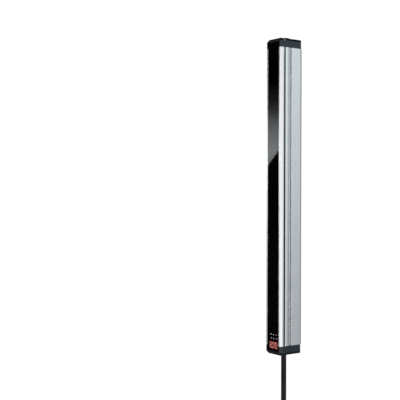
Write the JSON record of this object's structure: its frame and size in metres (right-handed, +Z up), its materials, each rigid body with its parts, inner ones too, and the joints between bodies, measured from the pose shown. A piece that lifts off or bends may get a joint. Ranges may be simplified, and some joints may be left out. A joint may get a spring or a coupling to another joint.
{
  "type": "safety light curtain",
  "caption": "Slim upright safety light curtain unit: aluminium profile with a dark front window, black end caps, a small lit display and a short cable with a round plug.",
  "frame": {"origin": "middle of the flat back face, on the slot that the bracket's nuts slide in", "axes": "+Z up along the housing, the window faces -Y, the back face faces +Y, +X is the side to the right seen from the front"},
  "size_m": [0.0452, 0.0353, 0.5752],
  "materials": {
    "anodised_aluminium": "natural anodised, fine extrusion lines",
    "smoked_pane": "polished dark infrared-clear acrylic",
    "black_cap": "moulded black polyamide, satin",
    "seal_rubber": "soft black rubber",
    "screw_steel": "plain steel",
    "carrier_plastic": "black, light-absorbing",
    "lens_clear": "clear polished",
    "sensor_dark": "dark clear epoxy",
    "board_green": "glass-fibre board with green varnish",
    "chip_black": "moulded black epoxy",
    "capacitor_can": "drawn can",
    "connector_white": "natural polyamide",
    "core_insulation": "coloured core insulation",
    "display_black": "black display block",
    "digit_red": "red light guides",
    "lamp_lens": "small clear lamps",
    "clamp_steel": "plated sheet steel",
    "tie_nylon": "natural nylon",
    "cable_jacket": "black jacket, fine satin",
    "tie_strap": "woven hook-and-loop strap",
    "plug_black": "moulded black",
    "plated_brass": "nickel-plated",
    "insert_plastic": "black glass-filled",
    "pin_gold": "gold-plated"
  },
  "bodies": {
    "root": {"housing_profile": "anodised_aluminium", "front_window": "smoked_pane", "window_seal_left": "seal_rubber", "window_seal_right": "seal_rubber", "top_cap": "black_cap", "bottom_cap": "black_cap", "top_gasket": "seal_rubber", "bottom_gasket": "seal_rubber", "top_cap_screws": "screw_steel", "bottom_cap_screws": "screw_steel", "optics_carrier_lower": "carrier_plastic", "optics_carrier_upper": "carrier_plastic", "lens_strip_lower": "lens_clear", "lens_strip_upper": "lens_clear", "photodiodes_lower": "sensor_dark", "photodiodes_upper": "sensor_dark", "receiver_board": "board_green", "board_screws": "screw_steel", "amplifier_chips": "chip_black", "board_link": "chip_black", "processor_board": "board_green", "controller_chips": "chip_black", "capacitors": "capacitor_can", "core_connector": "connector_white", "cable_cores": "core_insulation", "display_housing": "display_black", "display_board": "board_green", "digit_left": "digit_red", "digit_middle": "digit_red", "digit_right": "digit_red", "status_lamps": "lamp_lens", "cable_bushing": "seal_rubber", "gland_clamp": "clamp_steel", "clamp_screws": "screw_steel", "inner_tie": "tie_nylon", "end_buffer": "seal_rubber", "earth_spring": "clamp_steel", "cable_lead": "cable_jacket", "cable_hank": "cable_jacket", "hank_tie": "tie_strap", "plug_body": "plug_black", "plug_shell": "plated_brass", "plug_insert": "insert_plastic", "plug_pins": "pin_gold", "plug_seal": "seal_rubber"}
  },
  "joints": []
}
